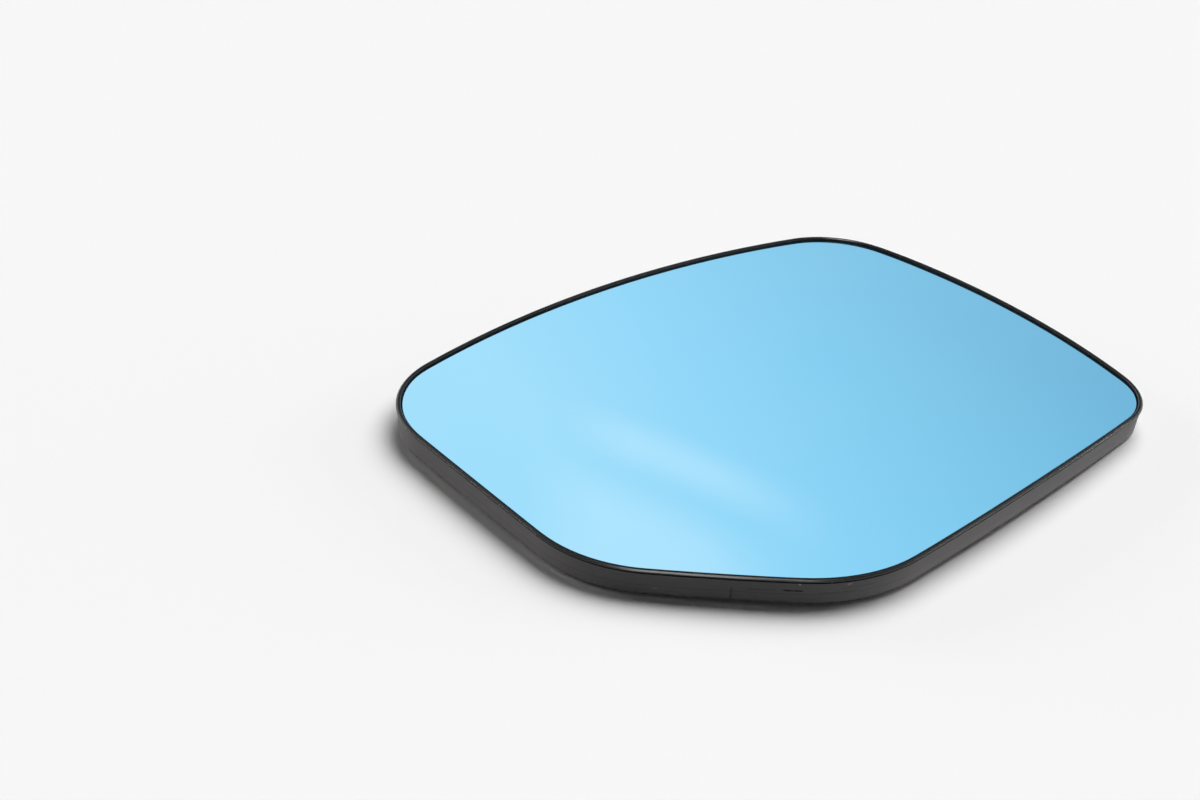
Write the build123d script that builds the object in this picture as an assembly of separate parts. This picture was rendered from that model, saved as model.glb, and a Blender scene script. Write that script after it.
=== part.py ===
from build123d import *
import os
from math import asin, cos, degrees, pi, radians, sin, tan

# Car door mirror glass: a convex coated pane bonded by a heating film into a moulded backing plate.
# Millimetres. Seen from the front, X runs to the right along the top side and Y is up; +Z leaves the glass.
# The origin lies on the actuator's axis, in the end face of the collar that the actuator's boss enters.

# Rim outline. Each corner is where its two sides meet before it is rounded, clockwise from the top left.
top_left_corner = (-81.0, 55.5)
top_right_corner = (78.6, 55.5)
bottom_right_corner = (77.3, -55.8)
bottom_left_corner = (-40.5, -71.0)
left_corner = (-88.0, -27.5)
top_left_rounding = 28.0
top_right_rounding = 22.0
bottom_right_rounding = 20.0
bottom_left_rounding = 39.0
left_rounding = 32.5
# How far the middle of each side stands out from the straight line between its corners.
top_bow = 9.7
right_bow = 7.3
bottom_bow = 2.1
lower_left_bow = 1.5
left_bow = 0.7

# Layers, from the face of the glass backwards. Every face is part of a ball round one common centre.
glass_radius = 1400.0
glass_thickness = 2.0
glass_edge_chamfer = 0.3
pad_thickness = 0.4
plate_thickness = 1.8

# Rim: a bevelled lip round the glass, a groove under it, and a drafted wall that is set back.
lip_stand = 0.75
lip_width = 1.15
lip_height = 0.6
lip_bevel = 0.4
lip_bevel_ease = 0.16
lip_inner_chamfer = 0.25
groove_height = 0.45
groove_depth = 0.45
glass_clearance = 0.15
pad_margin = 1.5
rim_depth = 6.8
wall_setback = 0.15
wall_draft = 7.0
wall_overlap = 0.3
wall_foot_chamfer = 0.4
skirt_thickness = 1.5

# Collar for the actuator's boss, and the snap claws that stand round it.
collar_height = 5.0
collar_bore_radius = 25.0
collar_wall = 2.0
claw_count = 4
claw_first_angle = 45.0
claw_gap = 4.0
claw_width = 8.0
claw_thickness = 1.6
claw_floor_clearance = 0.8
hook_reach = 1.1
hook_land = 0.6
hook_lead = 1.2
hook_catch = 0.5

# Ribs that stiffen the back of the plate: a ring round the claws, spokes to the rim, gussets at the collar.
rib_thickness = 1.4
rib_depth = 1.6
rib_root = 0.6
ring_rib_gap = 2.2
gusset_length = 9.0
gusset_floor_clearance = 1.6

# Heater terminals: flat blades riveted to the film, reached through windows in the plate.
terminal_spacing = 26.0
terminal_drop = 40.5
terminal_width = 6.3
terminal_thickness = 0.8
terminal_seat_gap = 0.02
foot_length = 5.6
blade_length = 9.5
blade_angle = 30.0
blade_tip_chamfer = 1.3
blade_hole_radius = 0.85
blade_hole_from_tip = 4.2
bend_inner_radius = 0.4
window_side_margin = 2.85
window_inner_margin = 1.0
window_outer_margin = 4.4
window_rounding = 2.0
rivet_radius = 0.9
rivet_clearance = 0.05
rivet_head_radius = 1.6
rivet_head_height = 0.45
rivet_head_chamfer = 0.25
rivet_end_gap = 0.1

# Balls that bound the layers, all with the same centre.
glass_back_radius = glass_radius - glass_thickness
plate_front_radius = glass_back_radius - pad_thickness
plate_back_radius = plate_front_radius - plate_thickness
lip_top_radius = glass_radius + lip_stand
lip_bottom_radius = lip_top_radius - lip_height
rim_bottom_radius = lip_top_radius - rim_depth
rib_bottom_radius = plate_back_radius - rib_depth
centre_z = collar_height - plate_back_radius
lip_top_z = centre_z + lip_top_radius

# Insets from the rim's outer edge.
glass_inset = lip_width + glass_clearance
pad_inset = glass_inset + pad_margin
wall_slope = tan(radians(wall_draft))
wall_foot_inset = wall_setback + (rim_depth - lip_height) * wall_slope
skirt_inset = wall_foot_inset + skirt_thickness

# Radii and heights on the back. What stands on the plate is rooted halfway into its thickness.
collar_radius = collar_bore_radius + collar_wall
claw_radius = collar_radius + claw_gap
ring_rib_radius = claw_radius + claw_thickness + ring_rib_gap
root_z = collar_height + plate_thickness / 2

# Reach of a cutting column, below and above everything that it has to pass.
column_bottom = -2 * collar_height
column_top = lip_top_z + rim_depth

corners = (
    (top_left_corner, top_left_rounding, top_bow),
    (top_right_corner, top_right_rounding, right_bow),
    (bottom_right_corner, bottom_right_rounding, bottom_bow),
    (bottom_left_corner, bottom_left_rounding, lower_left_bow),
    (left_corner, left_rounding, left_bow),
)


def bowed_side(start, end, bow):
    """One side of the rim: an arc whose middle stands out from its chord by bow."""
    first, last = Vector(*start), Vector(*end)
    along = (last - first).normalized()
    outward = Vector(-along.Y, along.X)
    return ThreePointArc(first, (first + last) * 0.5 + outward * bow, last)


def rim_face():
    """Flat face inside the rim's outer edge, with bowed sides and rounded corners."""
    points = [point for point, _, _ in corners]
    next_points = points[1:] + points[:1]
    bows = [bow for _, _, bow in corners]
    face = make_face([bowed_side(*side) for side in zip(points, next_points, bows)])
    for point, rounding, _ in corners:
        face = fillet(face.vertices().sort_by_distance(point)[0], rounding)
    return face


outline = rim_face()


def inset_face(inset):
    """The rim's face moved inwards all round, or outwards where inset is negative; its edges stay arcs."""
    edges = offset(outline, -inset, kind=Kind.INTERSECTION).edges()
    return make_face([ThreePointArc(edge @ 0, edge @ 0.5, edge @ 1) for edge in edges])


def column(inset):
    """Upright prism inside the inset outline, taller than the whole part."""
    face = outline if inset == 0 else inset_face(inset)
    return extrude(Pos(0, 0, column_bottom) * face, amount=column_top - column_bottom)


def ball(radius):
    """Ball round the common centre, turned so that its poles and seam stay clear of the glass."""
    return Pos(0, 0, centre_z) * Rot(90, 0, 0) * Sphere(radius)


def round_the_axis(points, width, angle):
    """Solid of a profile of radius and height, width wide, turned round the actuator's axis."""
    face = make_face(Polyline(*[(radius, 0, z) for radius, z in points], close=True))
    return Rot(0, 0, angle) * extrude(face, amount=width / 2, both=True)


def on_film(x, y):
    """Place on the back of the film, with local +Z square to the film."""
    tilt = degrees(asin(-y / plate_front_radius))
    lean = degrees(asin(x / plate_front_radius))
    return Pos(0, 0, centre_z) * Rot(tilt, lean, 0) * Pos(0, 0, plate_front_radius)


terminal_left_place = on_film(-terminal_spacing / 2, -terminal_drop)
terminal_right_place = on_film(terminal_spacing / 2, -terminal_drop)
terminal_places = (terminal_left_place, terminal_right_place)
claw_angles = [claw_first_angle + step * 360 / claw_count for step in range(claw_count)]
gusset_angles = [angle + 180 / claw_count for angle in claw_angles]


def make_mirror_glass():
    """Bent pane with a seamed front edge, loose in the rim by the clearance."""
    pane = (column(glass_inset) & ball(glass_radius)) - ball(glass_back_radius)
    front_edges = pane.faces().sort_by(Axis.Z)[-1].edges()
    return chamfer(front_edges, glass_edge_chamfer)


def make_heater_pad():
    """Film that fills the gap between glass and plate, with a hole for each terminal's rivet."""
    film = (column(pad_inset) & ball(glass_back_radius)) - ball(plate_front_radius)
    for place in terminal_places:
        film -= place * Cylinder(rivet_radius + rivet_clearance, 4 * pad_thickness)
    return film


def make_drafted_block():
    """Solid of the rim's wall: at the rim's mean height its top is set back from the lip."""
    mean_sag = outline.area / pi / (2 * lip_top_radius)
    setback_z = lip_top_z - mean_sag - lip_height

    def section(z):
        return Pos(0, 0, z) * inset_face(wall_setback + (setback_z - z) * wall_slope)

    block = loft([section(column_bottom), section(lip_top_z)], ruled=True)
    block = (block & ball(lip_bottom_radius + wall_overlap)) - ball(rim_bottom_radius)
    foot_edges = block.faces().sort_by(Axis.Z)[0].edges()
    return chamfer(foot_edges, wall_foot_chamfer)


def make_lip():
    """Ring round the glass: its outer edge is bevelled and the bevel eased, its inner edge broken."""
    ring = ((column(0) - column(lip_width)) & ball(lip_top_radius)) - ball(lip_bottom_radius)
    for size in (lip_bevel, lip_bevel_ease):
        top_face = ring.faces().sort_by(Axis.Z)[-1]
        ring = chamfer(top_face.outer_wire().edges(), size)
    top_face = ring.faces().sort_by(Axis.Z)[-1]
    return chamfer(top_face.inner_wires()[0].edges(), lip_inner_chamfer)


def make_groove():
    """Ring that is cut out of the wall directly under the lip."""
    band = ball(lip_bottom_radius) - ball(lip_bottom_radius - groove_height)
    return (column(0) - column(wall_setback + groove_depth)) & band


def make_tray():
    """Dished plate with its rim: open in front for the glass, hollow behind inside the skirt."""
    pocket = column(lip_width) - ball(plate_front_radius)
    recess = column(skirt_inset) & ball(plate_back_radius)
    return make_drafted_block() - pocket - recess - make_groove() + make_lip()


def make_claw(angle):
    """Springy tongue with a hook that snaps over the actuator's flange."""
    tip_radius = claw_radius - hook_reach
    lead_z = claw_floor_clearance + hook_lead
    catch_z = lead_z + hook_land
    profile = (
        (claw_radius, root_z),
        (claw_radius, catch_z + hook_catch),
        (tip_radius, catch_z),
        (tip_radius, lead_z),
        (claw_radius, claw_floor_clearance),
        (claw_radius + claw_thickness, claw_floor_clearance),
        (claw_radius + claw_thickness, root_z),
    )
    return round_the_axis(profile, claw_width, angle)


def make_hook_slot(angle):
    """Slot through the plate over a hook, where the mould's core forms the hook's catch."""
    inner, outer = claw_radius - hook_reach, claw_radius
    profile = ((inner, 0), (outer, 0), (outer, column_top), (inner, column_top))
    return round_the_axis(profile, claw_width, angle)


def make_spoke(start_radius, angle):
    """Rib from start_radius out into the skirt, as deep as the ring rib."""
    reach = outline.bounding_box().diagonal
    profile = ((start_radius, 0), (reach, 0), (reach, column_top), (start_radius, column_top))
    return round_the_axis(profile, rib_thickness, angle)


def make_gusset(angle):
    """Rib that braces the collar and runs down to the plate."""
    inner = collar_radius - collar_wall / 2
    profile = (
        (inner, gusset_floor_clearance),
        (collar_radius, gusset_floor_clearance),
        (collar_radius + gusset_length, collar_height),
        (collar_radius + gusset_length, root_z),
        (inner, root_z),
    )
    return round_the_axis(profile, rib_thickness, angle)


def make_ribs():
    """Ring rib and spokes, cut to one depth under the plate and rooted in plate and skirt."""
    ring = Circle(ring_rib_radius + rib_thickness) - Circle(ring_rib_radius)
    ribs = extrude(ring, amount=column_top)
    for angle in claw_angles:
        ribs += make_spoke(ring_rib_radius + rib_thickness / 2, angle)
    for angle in gusset_angles:
        ribs += make_spoke(collar_radius - collar_wall / 2, angle)
    inside_skirt = column(skirt_inset - rib_root) & ball(plate_back_radius + rib_root)
    return (ribs & inside_skirt) - ball(rib_bottom_radius)


def make_window(place):
    """Opening in the plate round a terminal's foot, longer on the side where the blade leaves."""
    width = terminal_width + 2 * window_side_margin
    length = foot_length + window_inner_margin + window_outer_margin
    middle = (window_inner_margin - window_outer_margin) / 2
    opening = Pos(0, middle) * RectangleRounded(width, length, window_rounding)
    return place * extrude(opening, amount=plate_thickness + pad_thickness, both=True)


def make_backing_plate():
    """The moulding: tray, ribs, collar with gussets, and claws, less their slots and the windows."""
    collar = Circle(collar_radius) - Circle(collar_bore_radius)
    plate = make_tray() + make_ribs() + extrude(collar, amount=root_z)
    for angle in gusset_angles:
        plate += make_gusset(angle)
    for angle in claw_angles:
        plate -= make_hook_slot(angle)
        plate += make_claw(angle)
    for place in terminal_places:
        plate -= make_window(place)
    return plate


def make_terminal(place):
    """Brass strip: a foot flat on the film, bent to a chamfered blade that leans off the plate."""
    bend = radians(blade_angle)
    top_z = -terminal_seat_gap
    bend_y = -foot_length / 2
    along = Vector(-cos(bend), -sin(bend))
    across = Vector(sin(bend), -cos(bend)) * terminal_thickness
    outer_bend = Vector(bend_y, top_z)
    inner_bend = outer_bend + Vector(tan(bend / 2), -1) * terminal_thickness
    tip = outer_bend + along * blade_length
    foot_end = Vector(foot_length / 2, top_z)
    foot_corner = foot_end - Vector(0, terminal_thickness)
    strip = make_face(
        Polyline(foot_end, outer_bend, tip, tip + across, inner_bend, foot_corner, close=True)
    )
    bend_outer_radius = bend_inner_radius + terminal_thickness
    strip = fillet(strip.vertices().sort_by_distance(outer_bend)[0], bend_outer_radius)
    strip = fillet(strip.vertices().sort_by_distance(inner_bend)[0], bend_inner_radius)
    blade = extrude(Plane.YZ * strip, amount=terminal_width / 2, both=True)
    tip_sides = blade.faces().sort_by(Axis.Y)[0].edges().sort_by(SortBy.LENGTH)[:2]
    blade = chamfer(tip_sides, blade_tip_chamfer)
    hole_at = tip - along * blade_hole_from_tip
    hole_place = Pos(0, hole_at.X, hole_at.Y) * Rot(blade_angle, 0, 0)
    drill_length = 4 * terminal_thickness
    blade -= hole_place * Cylinder(blade_hole_radius, drill_length)
    blade -= Cylinder(rivet_radius + rivet_clearance, drill_length)
    return place * blade


def make_rivet(place):
    """Rivet with its head under the terminal's foot and its shank through foot and film."""
    head_top = -terminal_seat_gap - terminal_thickness
    shank_top = pad_thickness - rivet_end_gap
    upward = (Align.CENTER, Align.CENTER, Align.MIN)
    head = Cylinder(rivet_head_radius, rivet_head_height, align=upward)
    head = chamfer(head.edges().sort_by(Axis.Z)[0], rivet_head_chamfer)
    head = Pos(0, 0, head_top - rivet_head_height) * head
    shank = Pos(0, 0, head_top) * Cylinder(rivet_radius, shank_top - head_top, align=upward)
    return place * (head + shank)


pieces = {
    "mirror_glass": make_mirror_glass(),
    "heater_pad": make_heater_pad(),
    "backing_plate": make_backing_plate(),
    "terminal_left": make_terminal(terminal_left_place),
    "terminal_right": make_terminal(terminal_right_place),
    "terminal_rivets": Part() + [make_rivet(place) for place in terminal_places],
}

os.makedirs("parts", exist_ok=True)
for name, piece in pieces.items():
    piece.label = name
    export_step(piece, f"parts/{name}.step")
    print(f"{name}: {len(piece.solids())} solids, {piece.volume:.1f} mm3, valid {piece.is_valid}")
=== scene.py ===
import math

import bpy
from mathutils import Matrix, Vector

# Car door mirror glass: a convex coated pane, bonded by a heating film into a black moulded
# backing plate. Metres, in the part's own frame: +Z leaves the glass, Z 0 is the collar's end face.
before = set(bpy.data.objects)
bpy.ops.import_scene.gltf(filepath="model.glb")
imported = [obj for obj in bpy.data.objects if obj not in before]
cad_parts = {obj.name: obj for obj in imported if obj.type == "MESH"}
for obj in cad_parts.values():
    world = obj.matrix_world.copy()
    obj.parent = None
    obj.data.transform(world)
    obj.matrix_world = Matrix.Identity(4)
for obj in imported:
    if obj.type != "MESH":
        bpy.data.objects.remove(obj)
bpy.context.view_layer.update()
scene = bpy.context.scene
scene.view_settings.view_transform = "Standard"

# BACKING PLATE
# One satin moulding in black plastic: the lip, the drafted wall under it, and the collar, claws and
# ribs behind. The wall has fine tooling lines and a parting line half-way down, and wear from use.


class Shade:
    """One output among a material's nodes. Arithmetic on it adds the Math nodes."""

    def __init__(self, tree, socket=None):
        self.tree = tree
        self.socket = socket

    def node(self, kind, settings, inputs, output=0):
        """A new node: its settings first, then each socket's value or link; gives one of its outputs."""
        made = self.tree.nodes.new(kind)
        for name, value in settings.items():
            if name == "stops":
                ramp = made.color_ramp
                while len(ramp.elements) < len(value):
                    ramp.elements.new(1.0)
                for element, (position, colour) in zip(ramp.elements, value):
                    element.position = position
                    element.color = (*colour, 1.0)
            else:
                setattr(made, name, value)
        for name, value in inputs.items():
            if isinstance(value, Shade):
                self.tree.links.new(value.socket, made.inputs[name])
            else:
                made.inputs[name].default_value = value
        return Shade(self.tree, made.outputs[output] if made.outputs else None)

    def math(self, operation, *values):
        return self.node("ShaderNodeMath", {"operation": operation}, dict(enumerate(values)))

    def __add__(self, other):
        return self.math("ADD", self, other)

    __radd__ = __add__

    def __sub__(self, other):
        return self.math("SUBTRACT", self, other)

    def __rsub__(self, other):
        return self.math("SUBTRACT", other, self)

    def __mul__(self, other):
        return self.math("MULTIPLY", self, other)

    __rmul__ = __mul__

    def __abs__(self):
        return self.math("ABSOLUTE", self)

    def larger(self, other):
        return self.math("MAXIMUM", self, other)

    def between(self, low, high):
        """0 at low and below, 1 at high and above, smooth between them; low may be the larger."""
        ends = {"Value": self, "From Min": low, "From Max": high}
        return self.node("ShaderNodeMapRange", {"interpolation_type": "SMOOTHSTEP"}, ends)


def new_finish(name):
    """An empty material, and the start of its shader maths."""
    material = bpy.data.materials.new(name)
    material.use_nodes = True
    material.node_tree.nodes.clear()
    return material, Shade(material.node_tree)


def close_finish(shade, sockets):
    """The Principled shader with these sockets, on the material's output."""
    surface = shade.node("ShaderNodeBsdfPrincipled", {}, sockets)
    shade.node("ShaderNodeOutputMaterial", {}, {"Surface": surface})


def dress(material, *nodes):
    """Gives CAD nodes their only material."""
    for node in nodes:
        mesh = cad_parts[node].data
        mesh.materials.clear()
        mesh.materials.append(material)


def part_place(shade):
    """Where a point of the surface is, in the part's frame."""
    return shade.node("ShaderNodeTexCoord", {}, {}, "Object")


def distance(shade, place, point):
    """How far a place is from a point."""
    return shade.node("ShaderNodeVectorMath", {"operation": "DISTANCE"}, {0: place, 1: point}, "Value")


def stretch(shade, place, factors):
    """A place with its three coordinates scaled."""
    return shade.node("ShaderNodeVectorMath", {"operation": "MULTIPLY"}, {0: place, 1: factors})


def noise(shade, place, scale, detail=3.0, roughness=0.5):
    """Noise from 0 to 1 at a place, with about scale features to the metre."""
    inputs = {"Vector": place, "Scale": scale, "Detail": detail, "Roughness": roughness}
    return shade.node("ShaderNodeTexNoise", {}, inputs)


def blend_colours(shade, amount, under, over):
    """One colour laid over another by amount."""
    inputs = {0: amount, 6: under, 7: over}
    return shade.node("ShaderNodeMix", {"data_type": "RGBA"}, inputs, 2)


# The rim follows the glass, which is bent to a ball, so a depth under the lip's top is a distance
# from the ball's centre.
ball_centre = (0.0, 0.0, -1.39080)
lip_top_radius = 1.40075
lip_height = 0.00060
groove_height = 0.00045
crest_depth = 0.00006
crest_softness = 0.00003
edge_softness = 0.00005
edge_rounding = 0.00022
parting_depth = 0.0041
parting_reach = 0.00016
parting_core = 0.00004
foot_depth = 0.0063
painted_light_depths = (0.0015, 0.0065)

tooling_scale = 45.0
tooling_squeeze = 60.0
grain_scale = 2600.0
clouding_scale = 55.0
tear_scale = 1500.0
relief_depth = 0.00006

wall_dark = (0.039, 0.036, 0.037, 1.0)
wall_light = (0.052, 0.048, 0.048, 1.0)
lip_black = (0.011, 0.0105, 0.0105, 1.0)
grime_and_shade_black = (0.004, 0.004, 0.004, 1.0)
chip_pale = (0.62, 0.61, 0.60, 1.0)
# The next two greys are painted light, on the lower wall and on the foot's chamfer.
painted_light_grey = (0.100, 0.096, 0.096, 1.0)
painted_glint_grey = (0.16, 0.155, 0.15, 1.0)

# Each mark: its middle, its depth under the lip's top, half its length, half its width, how strong.
dark_marks = (
    ((-0.05399, -0.05963, 0.00452), 0.00311, 0.0022, 0.00016, 1.0),
    ((-0.05900, -0.05510, 0.00440), 0.00316, 0.0030, 0.00007, 0.7),
    ((-0.04535, -0.06545, 0.00402), 0.00366, 0.0045, 0.00007, 0.7),
    ((-0.04127, -0.06736, 0.00503), 0.00269, 0.0040, 0.00006, 0.6),
)
pale_marks = (
    ((-0.05314, -0.06064, 0.00630), 0.00133, 0.00014, 0.00014, 0.8),
    ((-0.04718, -0.06439, 0.00662), 0.00105, 0.00018, 0.00016, 1.0),
    ((-0.04369, -0.06651, 0.00603), 0.00165, 0.00055, 0.00007, 0.35),
    ((-0.07560, -0.03947, 0.00249), 0.00485, 0.00060, 0.00007, 0.2),
)
# The upright nick: where it stands, its half width, and the depths at which it starts and deepens.
nick_place = (-0.06385, -0.05080, 0.0)
nick_reach = 0.00034
nick_core = 0.00012
nick_start = (0.0024, 0.0034)
nick_deepening = (0.0050, 0.0060)

moulding, shade = new_finish("black_moulding")
place = part_place(shade)
depth = lip_top_radius - distance(shade, place, ball_centre)
lip_share = depth.between(lip_height + edge_softness, lip_height - edge_softness)
groove_foot = lip_height + groove_height
# The groove band under the lip, which is darkened below as painted shade.
groove_shade = depth.between(groove_foot + edge_softness, groove_foot - edge_softness) - lip_share
# The lip's top, darkened below as painted shade and made rougher.
crest = depth.between(crest_depth + crest_softness, crest_depth - crest_softness)
parting = abs(depth - parting_depth).between(parting_reach, parting_core)

run = stretch(shade, place, (1.0, 1.0, 0.0))
rise = shade.node("ShaderNodeCombineXYZ", {}, {"Z": depth * tooling_squeeze})
tooling_place = shade.node("ShaderNodeVectorMath", {"operation": "ADD"}, {0: run, 1: rise})
tooling = noise(shade, tooling_place, tooling_scale, detail=4.0, roughness=0.6)
grain = noise(shade, place, grain_scale, detail=2.0)
clouding = noise(shade, place, clouding_scale)
torn = noise(shade, place, tear_scale, detail=2.0).between(0.30, 0.48)


def marked(marks):
    """How strongly the marks of a table cover a point. They fade at their ends and edges."""
    share = 0.0
    for middle, mark_depth, half_length, half_width, strength in marks:
        reach = distance(shade, place, middle).between(1.15 * half_length, 0.8 * half_length)
        band = abs(depth - mark_depth).between(1.6 * half_width, 0.6 * half_width)
        share = strength * reach * band + share
    return share


scuff = marked(dark_marks) * torn
chips = marked(pale_marks)
nick_width = distance(shade, run, nick_place).between(nick_reach, nick_core)
nick = nick_width * (0.45 * depth.between(*nick_start) + 0.55 * depth.between(*nick_deepening))

# Upright faces lighten towards the wall's foot, and the chamfer there lightens more: both are painted
# light, as if bounced up from the floor. The way that a face looks tells both from the flat back of the
# plate.
facing = shade.node("ShaderNodeNewGeometry", {}, {}, "Normal")
facing_up = shade.node("ShaderNodeSeparateXYZ", {}, {"Vector": facing}, "Z")
painted_floor_light = 0.5 * depth.between(*painted_light_depths) * abs(facing_up).between(0.5, 0.3)
foot_chamfer = facing_up.between(-0.9, -0.8) * facing_up.between(-0.3, -0.5)
at_foot = depth.between(foot_depth - edge_softness, foot_depth + edge_softness)
# Painted light: the foot's chamfer is lightened as if it caught the light.
painted_foot_glint = 0.9 * foot_chamfer * at_foot

worn = 0.6 * clouding + 0.4 * tooling
tone = blend_colours(shade, worn.between(0.3, 0.7), wall_dark, wall_light)
tone = blend_colours(shade, painted_floor_light, tone, painted_light_grey)
tone = blend_colours(shade, lip_share, tone, lip_black)
# Real dark marks are the scuffs, the nick and the parting line; the groove and the lip's top are
# darkened as painted shade.
grime_and_painted_shade = 0.45 * parting + scuff + nick + 0.8 * groove_shade + 0.8 * crest
tone = blend_colours(shade, grime_and_painted_shade, tone, grime_and_shade_black)
tone = blend_colours(shade, chips, tone, chip_pale)
tone = blend_colours(shade, painted_foot_glint, tone, painted_glint_grey)
roughness = 0.60 + 0.10 * tooling + 0.08 * clouding - 0.42 * lip_share + 0.75 * crest
# Deep marks lose the plastic's sheen: as a near-black metal they reflect almost nothing.
# The groove is made near-black metal too, as painted shade.
sheenless_marks_and_shade = 0.9 * scuff + 0.7 * nick + 0.6 * groove_shade
height = 0.5 * tooling + 0.35 * grain - 0.5 * parting - scuff - nick
eased = shade.node("ShaderNodeBevel", {"samples": 6}, {"Radius": edge_rounding})
relief = {"Strength": 0.25, "Distance": relief_depth, "Height": height, "Normal": eased}
bump = shade.node("ShaderNodeBump", {}, relief)
close_finish(
    shade,
    {"Base Color": tone, "Metallic": sheenless_marks_and_shade, "Roughness": roughness, "IOR": 1.5, "Normal": bump},
)
dress(moulding, "backing_plate")

# HEATER PAD
# A printed plastic film with glue on both faces. It holds the glass to the plate and
# shows only through the two windows round the terminals.
film_scale = 300.0
film_dark = (0.085, 0.078, 0.070, 1.0)
film_light = (0.150, 0.138, 0.124, 1.0)
film, shade = new_finish("heater_film")
mottle = noise(shade, part_place(shade), film_scale)
tone = blend_colours(shade, mottle, film_dark, film_light)
close_finish(shade, {"Base Color": tone, "Roughness": 0.30 + 0.15 * mottle})
dress(film, "heater_pad")

# TERMINALS
# Two stamped brass blades with their rivets, which join the film's tracks to a connector.
# The brass is dulled, a little darker in patches, and has the fine lines of the rolled strip.
tarnish_scale = 420.0
rolled_scale = 900.0
rolled_stretch = (6.0, 0.4, 1.0)
rolled_depth = 0.00003
brass_bright = (0.73, 0.55, 0.25, 1.0)
brass_dull = (0.50, 0.35, 0.15, 1.0)
brass, shade = new_finish("terminal_brass")
place = part_place(shade)
tarnish = noise(shade, place, tarnish_scale, detail=4.0)
rolled = noise(shade, stretch(shade, place, rolled_stretch), rolled_scale)
tone = blend_colours(shade, tarnish, brass_bright, brass_dull)
bump = shade.node("ShaderNodeBump", {}, {"Strength": 0.2, "Distance": rolled_depth, "Height": rolled})
close_finish(
    shade,
    {"Base Color": tone, "Metallic": 1.0, "Roughness": 0.22 + 0.22 * tarnish, "Normal": bump},
)
dress(brass, "terminal_left", "terminal_right", "terminal_rivets")

# MIRROR GLASS
# Bent 2 mm glass with a blue reflecting coat, seamed at its edge, dropped into the rim and held
# by the film. The clear front face adds its own weak, colourless reflection.
haze_scale = 18.0
coat_blue = (0.335, 0.742, 0.978, 1.0)
coat_pale = (0.350, 0.752, 0.985, 1.0)
coated, shade = new_finish("coated_glass")
haze = noise(shade, part_place(shade), haze_scale, detail=4.0)
tint = blend_colours(shade, haze, coat_blue, coat_pale)
close_finish(
    shade,
    {
        "Base Color": tint,
        "Metallic": 1.0,
        "Roughness": 0.015 + 0.02 * haze,
        "Coat Weight": 1.0,
        "Coat Roughness": 0.0,
        "Coat IOR": 1.5,
    },
)
dress(coated, "mirror_glass")

# FLOOR
# A plain sheet of pale matte paper, on which the part lies face up on its collar.
# It reaches far past the view and keeps the part's shadow.
floor_half = 4.0
floor_pale = (0.93, 0.93, 0.93, 1.0)
floor_corners = [(-floor_half, -floor_half, 0), (floor_half, -floor_half, 0)]
floor_corners += [(floor_half, floor_half, 0), (-floor_half, floor_half, 0)]
floor_mesh = bpy.data.meshes.new("floor")
floor_mesh.from_pydata(floor_corners, [], [(0, 1, 2, 3)])
floor = bpy.data.objects.new("floor", floor_mesh)
scene.collection.objects.link(floor)
paper, shade = new_finish("floor_paper")
close_finish(shade, {"Base Color": floor_pale, "Roughness": 0.9, "IOR": 1.2})
floor_mesh.materials.append(paper)

# SURROUND
# What stands round the part, out of view: the backdrop that the glass mirrors, a dimmer room
# behind the camera, a lit box overhead that draws the glint on the lip, and lights low on both sides.
surround = bpy.data.worlds.new("surround")
scene.world = surround
surround.use_nodes = True
surround.node_tree.nodes.clear()
shade = Shade(surround.node_tree)
direction = shade.node("ShaderNodeTexCoord", {}, {}, "Generated")


def along(axis):
    """How far the direction looked in leans along an axis, from -1 to 1."""
    inputs = {0: direction, 1: axis}
    return shade.node("ShaderNodeVectorMath", {"operation": "DOT_PRODUCT"}, inputs, "Value")


# Each pair below says where a part of the surround starts to show and where it shows in full.
view_axis = (0.692, 0.722, 0.0)
floor_edge = (-0.03, -0.01)
climb = along((0.0, 0.0, 1.0))
ahead = along(view_axis)
above_floor = climb.between(*floor_edge)

# The backdrop ahead goes from grey on the right to white on the left, with a soft fold and a pale panel.
sweep_axis = (-0.5795, 0.6436, 0.5)
sweep_from = 0.05
sweep_to = 0.45
sweep_tones = (
    (0.0, (0.41, 0.60, 0.705)),
    (0.36, (0.59, 0.775, 0.86)),
    (0.55, (0.71, 0.857, 0.93)),
    (0.82, (0.935, 0.955, 0.968)),
)
fold_axis = (-0.7071, 0.7071, 0.0)
fold_cross_axis = (-0.7071, 0.0, 0.7071)
fold_middle = -0.0165
fold_half = 0.030
fold_right = (-0.095, 0.0)
fold_left = (0.075, 0.025)
fold_strength = 0.62
fold_light = (1.24, 1.03, 1.0, 1.0)
panel_edge = (0.008, 0.052)
panel_right = (-0.075, 0.0)
panel_left = (0.095, 0.040)
panel_strength = 0.68
sweep_ends = {"Value": along(sweep_axis), "From Min": sweep_from, "From Max": sweep_to}
sweep = shade.node("ShaderNodeMapRange", {}, sweep_ends)
backdrop = shade.node("ShaderNodeValToRGB", {"stops": sweep_tones}, {"Fac": sweep}, "Color")
across_fold = along(fold_cross_axis)
along_fold = along(fold_axis)
fold = abs(across_fold - fold_middle).between(fold_half, 0.0)
fold = fold_strength * fold * along_fold.between(*fold_right) * along_fold.between(*fold_left)
panel = across_fold.between(*panel_edge)
panel = panel_strength * panel * along_fold.between(*panel_right) * along_fold.between(*panel_left)
backdrop = blend_colours(shade, fold.larger(panel), backdrop, fold_light)

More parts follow.
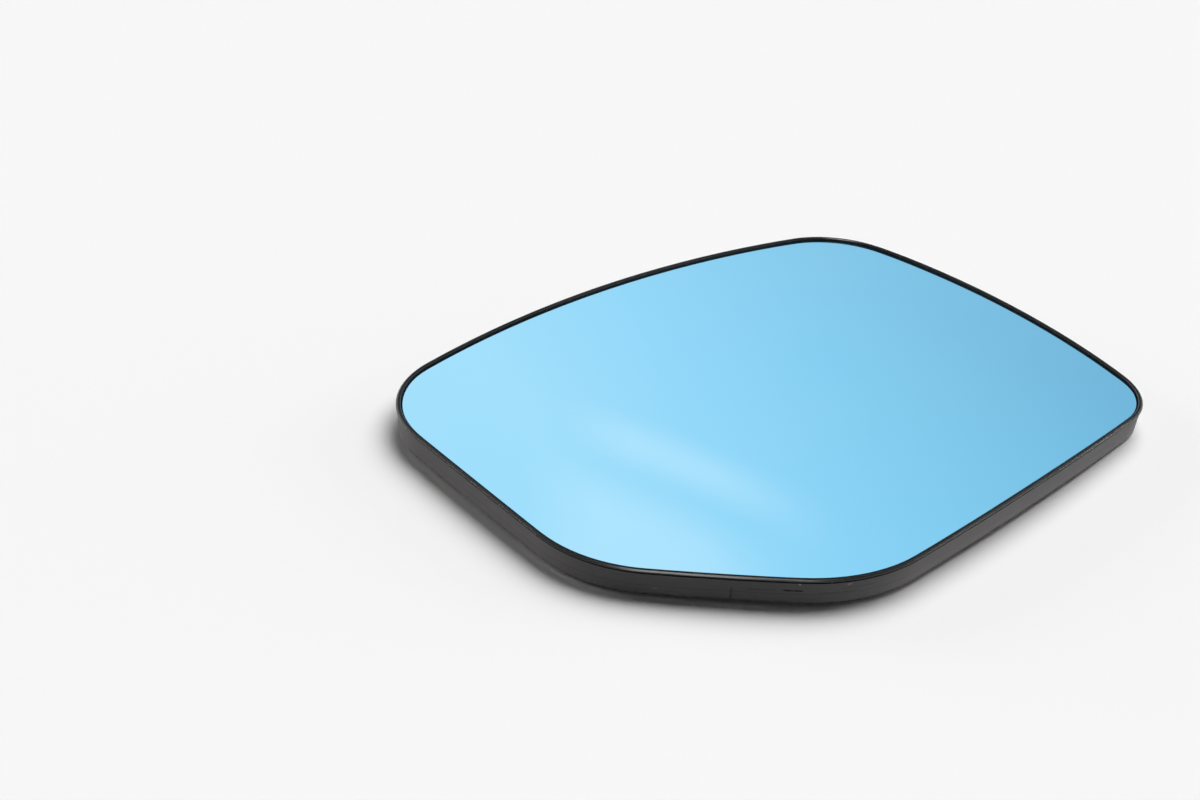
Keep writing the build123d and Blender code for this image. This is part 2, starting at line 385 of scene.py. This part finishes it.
# The room darkens upwards to a ring, inside which is a pale ceiling.
room_low = (0.72, 0.78, 0.82, 1.0)
room_high = (0.34, 0.40, 0.43, 1.0)
room_climb = (0.08, 0.55)
backdrop_edge = (0.1, 0.65)
ring_grey = (0.18, 0.22, 0.24, 1.0)
ring_climb = (0.64, 0.72)
ceiling_axis = (-0.58, 0.64, 0.0)
ceiling_grey = (0.56, 0.72, 0.80, 1.0)
ceiling_white = (0.98, 0.985, 0.99, 1.0)
ceiling_sweep = (-0.35, 0.35)
ceiling_climb = (0.90, 0.97)
box_axis = (-0.318, -0.299, 0.899)
box_edge = (0.962, 0.985)
box_light = (12.0, 12.0, 12.0, 1.0)
room = blend_colours(shade, climb.between(*room_climb), room_low, room_high)
mirrored = blend_colours(shade, ahead.between(*backdrop_edge), room, backdrop)
mirrored = blend_colours(shade, climb.between(*ring_climb), mirrored, ring_grey)
ceiling_share = along(ceiling_axis).between(*ceiling_sweep)
ceiling = blend_colours(shade, ceiling_share, ceiling_grey, ceiling_white)
mirrored = blend_colours(shade, climb.between(*ceiling_climb), mirrored, ceiling)
mirrored = blend_colours(shade, along(box_axis).between(*box_edge), mirrored, box_light)

# Matte surfaces are lit by a dim room, a soft light on each flank, and a thin strip close to the
# floor that is bright on both sides, so the rim's sides lighten and its shadow stays dark.
under_floor = (0.8, 0.8, 0.8, 1.0)
room_dim = (0.008, 0.008, 0.008, 1.0)
flank_back = (0.75, 0.55)
flank_front = (0.15, 0.35)
flank_top = (0.45, 0.30)
flank_light = (4.4, 4.35, 4.30, 1.0)
strip_back = (0.72, 0.5)
strip_front = (-0.18, 0.0)
strip_top = (0.045, 0.01)
strip_dim = (3.0, 3.0, 3.0, 1.0)
strip_bright = (94.0, 92.4, 90.8, 1.0)
fill = blend_colours(shade, above_floor, under_floor, room_dim)
flanks = ahead.between(*flank_front) * ahead.between(*flank_back) * climb.between(*flank_top)
fill = blend_colours(shade, flanks * above_floor, fill, flank_light)
sides = ahead.between(*strip_front) * ahead.between(*strip_back)
strip = blend_colours(shade, sides, strip_dim, strip_bright)
fill = blend_colours(shade, climb.between(*strip_top) * above_floor, fill, strip)

white = (1.0, 1.0, 1.0, 1.0)
camera_ray, glossy_ray, clear_ray = (
    shade.node("ShaderNodeLightPath", {}, {}, name)
    for name in ("Is Camera Ray", "Is Glossy Ray", "Is Transmission Ray")
)
colour = blend_colours(shade, glossy_ray, fill, mirrored)
colour = blend_colours(shade, camera_ray.larger(clear_ray), colour, white)
back = shade.node("ShaderNodeBackground", {}, {"Color": colour, "Strength": 1.0})
shade.node("ShaderNodeOutputWorld", {}, {"Surface": back})

# LAMP
# One large soft lamp, high behind the part and to the right, which throws the shadow to the front left.
# It doesn't show in the glass, where the surround has its own lights.
lamp_place = Vector((0.5822, 0.1780, 0.7934))
lamp_data = bpy.data.lights.new("soft_lamp", "SUN")
lamp_data.angle = math.radians(54.0)
lamp_data.energy = 3.5
lamp = bpy.data.objects.new("soft_lamp", lamp_data)
lamp.location = lamp_place
lamp.rotation_euler = (-lamp_place).to_track_quat("-Z", "Y").to_euler()
lamp.visible_glossy = False
scene.collection.objects.link(lamp)

# CAMERA
# A long lens at the photograph's viewing angle, low over the cut-off corner, which is nearest.
# It is rolled a little, as the part is in the photograph.
camera_place = Vector((-0.405836, -0.362050, 0.311571))
camera_target = Vector((-0.039932, 0.019521, 0.009450))
camera_roll = math.radians(4.67)
camera_data = bpy.data.cameras.new("camera")
camera_data.lens = 77.31
camera_data.sensor_width = 36.0
camera_data.clip_start = 0.01
camera = bpy.data.objects.new("camera", camera_data)
turn = (camera_target - camera_place).to_track_quat("-Z", "Y").to_matrix().to_4x4()
roll = Matrix.Rotation(camera_roll, 4, "Z")
camera.matrix_world = Matrix.Translation(camera_place) @ turn @ roll
scene.collection.objects.link(camera)
scene.camera = camera
